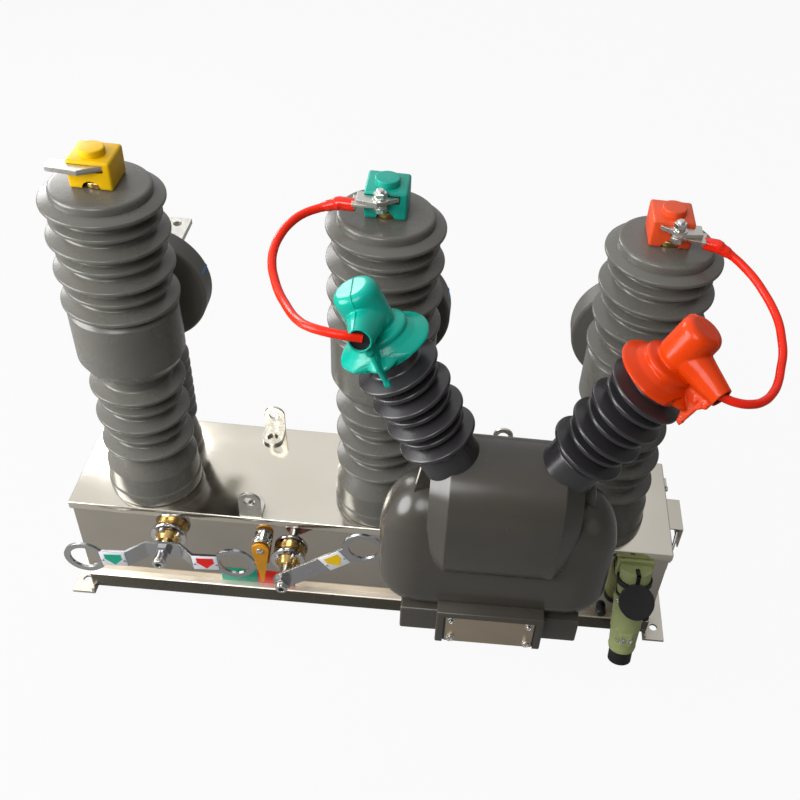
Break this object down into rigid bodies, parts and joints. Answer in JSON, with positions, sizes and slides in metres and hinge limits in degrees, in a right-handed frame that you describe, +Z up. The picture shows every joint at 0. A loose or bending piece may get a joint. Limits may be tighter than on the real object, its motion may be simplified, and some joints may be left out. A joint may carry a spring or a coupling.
{
  "type": "vacuum circuit breaker",
  "caption": "Outdoor vacuum circuit breaker: ribbed insulator poles on a stainless box, with rear current transformers, a front voltage transformer with booted bushings, and hand levers.",
  "frame": {"origin": "on the ground at the centre of the four foot bolt holes", "axes": "+X along the box to the right as seen from the levers, +Y to the rear terminals, +Z up"},
  "size_m": [0.955, 0.53, 0.7441],
  "materials": {
    "stainless": "mirror-polished stainless sheet",
    "pole_resin": "smooth moulded epoxy, satin gloss",
    "transformer_resin": "moulded epoxy, satin gloss",
    "black_rubber": "moulded silicone rubber, satin",
    "tinned_metal": "tinned copper, dull silver",
    "yellow_rubber": "soft moulded cover, satin",
    "green_rubber": "soft moulded cover, satin",
    "red_rubber": "soft moulded cover, satin",
    "lead_red": "silicone lead, satin",
    "brass": "turned brass",
    "bright_chrome": "turned and plated",
    "lever_steel": "zinc-plated plate",
    "orange_paint": "painted plate",
    "olive_paint": "painted shell, satin",
    "black_plastic": "moulded plastic"
  },
  "bodies": {
    "breaker": {"foot_left": "stainless", "foot_right": "stainless", "base_tray": "stainless", "box_shell": "stainless", "lid": "stainless", "lifting_lugs": "stainless", "side_hood": "stainless", "pole_left": "pole_resin", "pole_centre": "pole_resin", "pole_right": "pole_resin", "current_transformer_left": "pole_resin", "current_transformer_centre": "pole_resin", "current_transformer_right": "pole_resin", "lead_column_left": "pole_resin", "lead_column_centre": "pole_resin", "lead_column_right": "pole_resin", "rear_terminal_left": "tinned_metal", "rear_terminal_centre": "tinned_metal", "rear_terminal_right": "tinned_metal", "top_terminal_left": "tinned_metal", "top_terminal_centre": "tinned_metal", "top_terminal_right": "tinned_metal", "terminal_cover_left": "yellow_rubber", "terminal_cover_centre": "green_rubber", "terminal_cover_right": "red_rubber", "cable_lug_centre": "tinned_metal", "cable_lug_right": "tinned_metal", "charge_bushing": "brass", "trip_bushing": "brass", "pointer_bezel": "bright_chrome", "vt_bracket": "stainless", "vt_body": "transformer_resin", "vt_bushing_left": "black_rubber", "vt_bushing_right": "black_rubber", "boot_left": "green_rubber", "boot_right": "red_rubber", "jumper_left": "lead_red", "jumper_right": "lead_red", "plug_socket": "olive_paint", "plug_shell": "olive_paint", "plug_clamp": "black_plastic", "plug_cap": "black_plastic"},
    "charging_handle": {"charge_lever": "lever_steel"},
    "trip_handle": {"trip_lever": "lever_steel"},
    "state_pointer": {"pointer": "orange_paint"}
  },
  "joints": [
    {"name": "charging_handle_turn", "type": "hinge", "parent": "breaker", "child": "charging_handle", "pos_m": [-0.307, -0.095, 0.155], "axis": [0, 1, 0], "range_deg": [-40, 40]},
    {"name": "trip_handle_turn", "type": "hinge", "parent": "breaker", "child": "trip_handle", "pos_m": [-0.13, -0.095, 0.122], "axis": [0, 1, 0], "range_deg": [0, 45]},
    {"name": "state_pointer_turn", "type": "hinge", "parent": "breaker", "child": "state_pointer", "pos_m": [-0.17, -0.095, 0.147], "axis": [0, 1, 0], "range_deg": [0, 30]}
  ]
}
